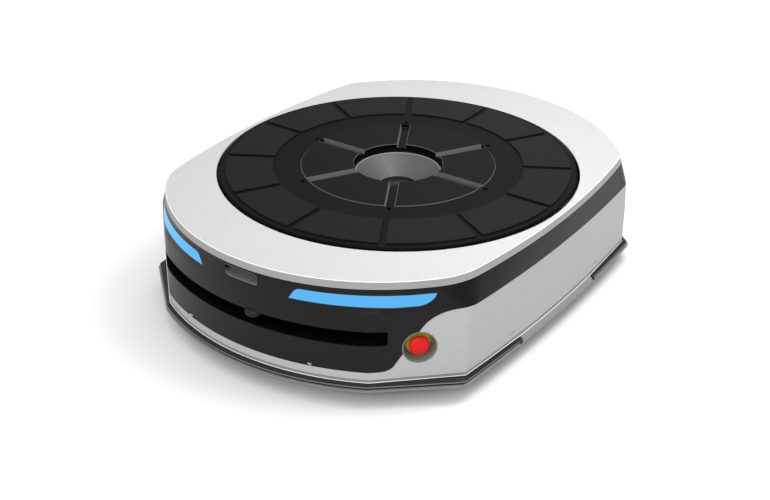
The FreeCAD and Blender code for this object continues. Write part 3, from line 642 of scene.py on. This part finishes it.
def area_light(name, at, target, size, power):
    """Soft rectangular light at a place, turned to a target."""
    data = bpy.data.lights.new(name, "AREA")
    data.shape = "RECTANGLE"
    data.size, data.size_y = size
    data.energy = power
    light = bpy.data.objects.new(name, data)
    light.location = at
    light.rotation_euler = (Vector(target) - Vector(at)).to_track_quat("-Z", "Y").to_euler()
    bpy.context.scene.collection.objects.link(light)


def lay_floor(scene, s):
    """Matt floor that looks pale from the camera and passes on less light than it shows."""
    mesh = bpy.data.meshes.new("floor")
    reach = FLOOR_REACH
    corners = [(-reach, -reach, 0), (reach, -reach, 0), (reach, reach, 0), (-reach, reach, 0)]
    mesh.from_pydata(corners, [], [(0, 1, 2, 3)])
    floor = bpy.data.objects.new("floor", mesh)
    scene.collection.objects.link(floor)
    p = Paint("floor_white")
    output = p.tree.nodes["Material Output"]
    p.tree.nodes.remove(p.shader)
    path = p.tree.nodes.new("ShaderNodeLightPath")
    x, y, _ = p.axes()
    away = distance(x, y).step(*FLOOR_FADE)
    seen = Val(p, path.outputs["Is Camera Ray"]).at_least(Val(p, path.outputs["Is Glossy Ray"]))
    passed_on = p.node("ShaderNodeBsdfDiffuse", None, {"Color": grey(s.bounce)})
    shown = p.node("ShaderNodeBsdfDiffuse", None,
                   {"Color": p.blend(away, grey(s.floor), grey(FLOOR_FAR))})
    p.link(p.node("ShaderNodeMixShader", None, {0: seen, 1: passed_on, 2: shown}),
           output.inputs["Surface"])
    mesh.materials.append(p.material)


def hang_sky(scene, s):
    """Sky that is brighter overhead, and plain white to the camera."""
    scene.world = bpy.data.worlds.new("studio")
    scene.world.use_nodes = True
    w = Paint.on_tree(scene.world.node_tree)
    split = w.tree.nodes.new("ShaderNodeSeparateXYZ")
    w.link(w.node("ShaderNodeTexCoord", out=0), split.inputs[0])
    height = Val(w, split.outputs[2]).step(0.05, 0.75)
    glow = height * (s.zenith - s.horizon) + s.horizon
    seen = w.node("ShaderNodeLightPath", out=0)
    back = w.tree.nodes["Background"]
    back.inputs["Color"].default_value = (1.0, 1.0, 1.0, 1.0)
    w.link(glow * (1.0 - seen) + seen, back.inputs["Strength"])


def set_camera(scene, s):
    """Camera at its place, turned by azimuth, rise and roll."""
    data = bpy.data.cameras.new("camera")
    data.sensor_width = 36.0
    data.lens = s.lens
    camera = bpy.data.objects.new("camera", data)
    a, e, r = CAMERA_AZIMUTH, CAMERA_RISE, CAMERA_ROLL
    right = Vector((math.cos(a), math.sin(a), 0.0))
    back = Vector((math.sin(a) * math.cos(e), -math.cos(a) * math.cos(e), math.sin(e)))
    up = back.cross(right)
    right, up = (right * math.cos(r) - up * math.sin(r), right * math.sin(r) + up * math.cos(r))
    turn = Matrix((right, up, back)).transposed().to_4x4()
    camera.matrix_world = Matrix.Translation(CAMERA_AT) @ turn
    scene.collection.objects.link(camera)
    scene.camera = camera


class ROBOT_OT_stage(bpy.types.Operator):
    """Builds the floor, the lights, the sky and the camera"""
    bl_idname = "robot.stage"
    bl_label = "Stage"

    def execute(self, context):
        s = context.scene.robot_stage
        scene = context.scene
        scene.view_settings.view_transform = "Standard"
        lay_floor(scene, s)
        hang_sky(scene, s)
        area_light("key_light", (1.2, -2.9, 1.5), (0, 0, 0.12), (1.8, 1.4), s.key)
        area_light("side_light", (0.56, 0.15, 1.45), (0.40, 0.12, 0.25), (0.7, 0.9), s.side)
        area_light("glint_light", (-0.95, 2.2, 1.45), (0.3, 0, 0.27), (1.0, 0.7), s.glint)
        set_camera(scene, s)
        return {"FINISHED"}


class ROBOT_PT_panel(bpy.types.Panel):
    """Lists the robot's finishes and pieces"""
    bl_idname = "ROBOT_PT_panel"
    bl_label = "Lifting robot"
    bl_space_type = "VIEW_3D"
    bl_region_type = "UI"
    bl_category = "Robot"

    def draw(self, context):
        column = self.layout.column()
        for group in (context.scene.robot_finish, context.scene.robot_stage):
            for key in group.__annotations__:
                column.prop(group, key)
        for step in STEPS:
            column.operator(step.bl_idname)


STEPS = [ROBOT_OT_finishes, ROBOT_OT_edges, ROBOT_OT_lamp_seals, ROBOT_OT_window, ROBOT_OT_stage]
CLASSES = [ROBOT_PG_finish, ROBOT_PG_stage, *STEPS, ROBOT_PT_panel]


def register():
    for cls in CLASSES:
        bpy.utils.register_class(cls)
    bpy.types.Scene.robot_finish = bpy.props.PointerProperty(type=ROBOT_PG_finish)
    bpy.types.Scene.robot_stage = bpy.props.PointerProperty(type=ROBOT_PG_stage)


def unregister():
    del bpy.types.Scene.robot_finish
    del bpy.types.Scene.robot_stage
    for cls in reversed(CLASSES):
        bpy.utils.unregister_class(cls)


def main():
    """Dresses the robot step by step."""
    register()
    for step in STEPS:
        group, name = step.bl_idname.split(".")
        getattr(getattr(bpy.ops, group), name)()


if __name__ == "__main__":
    main()
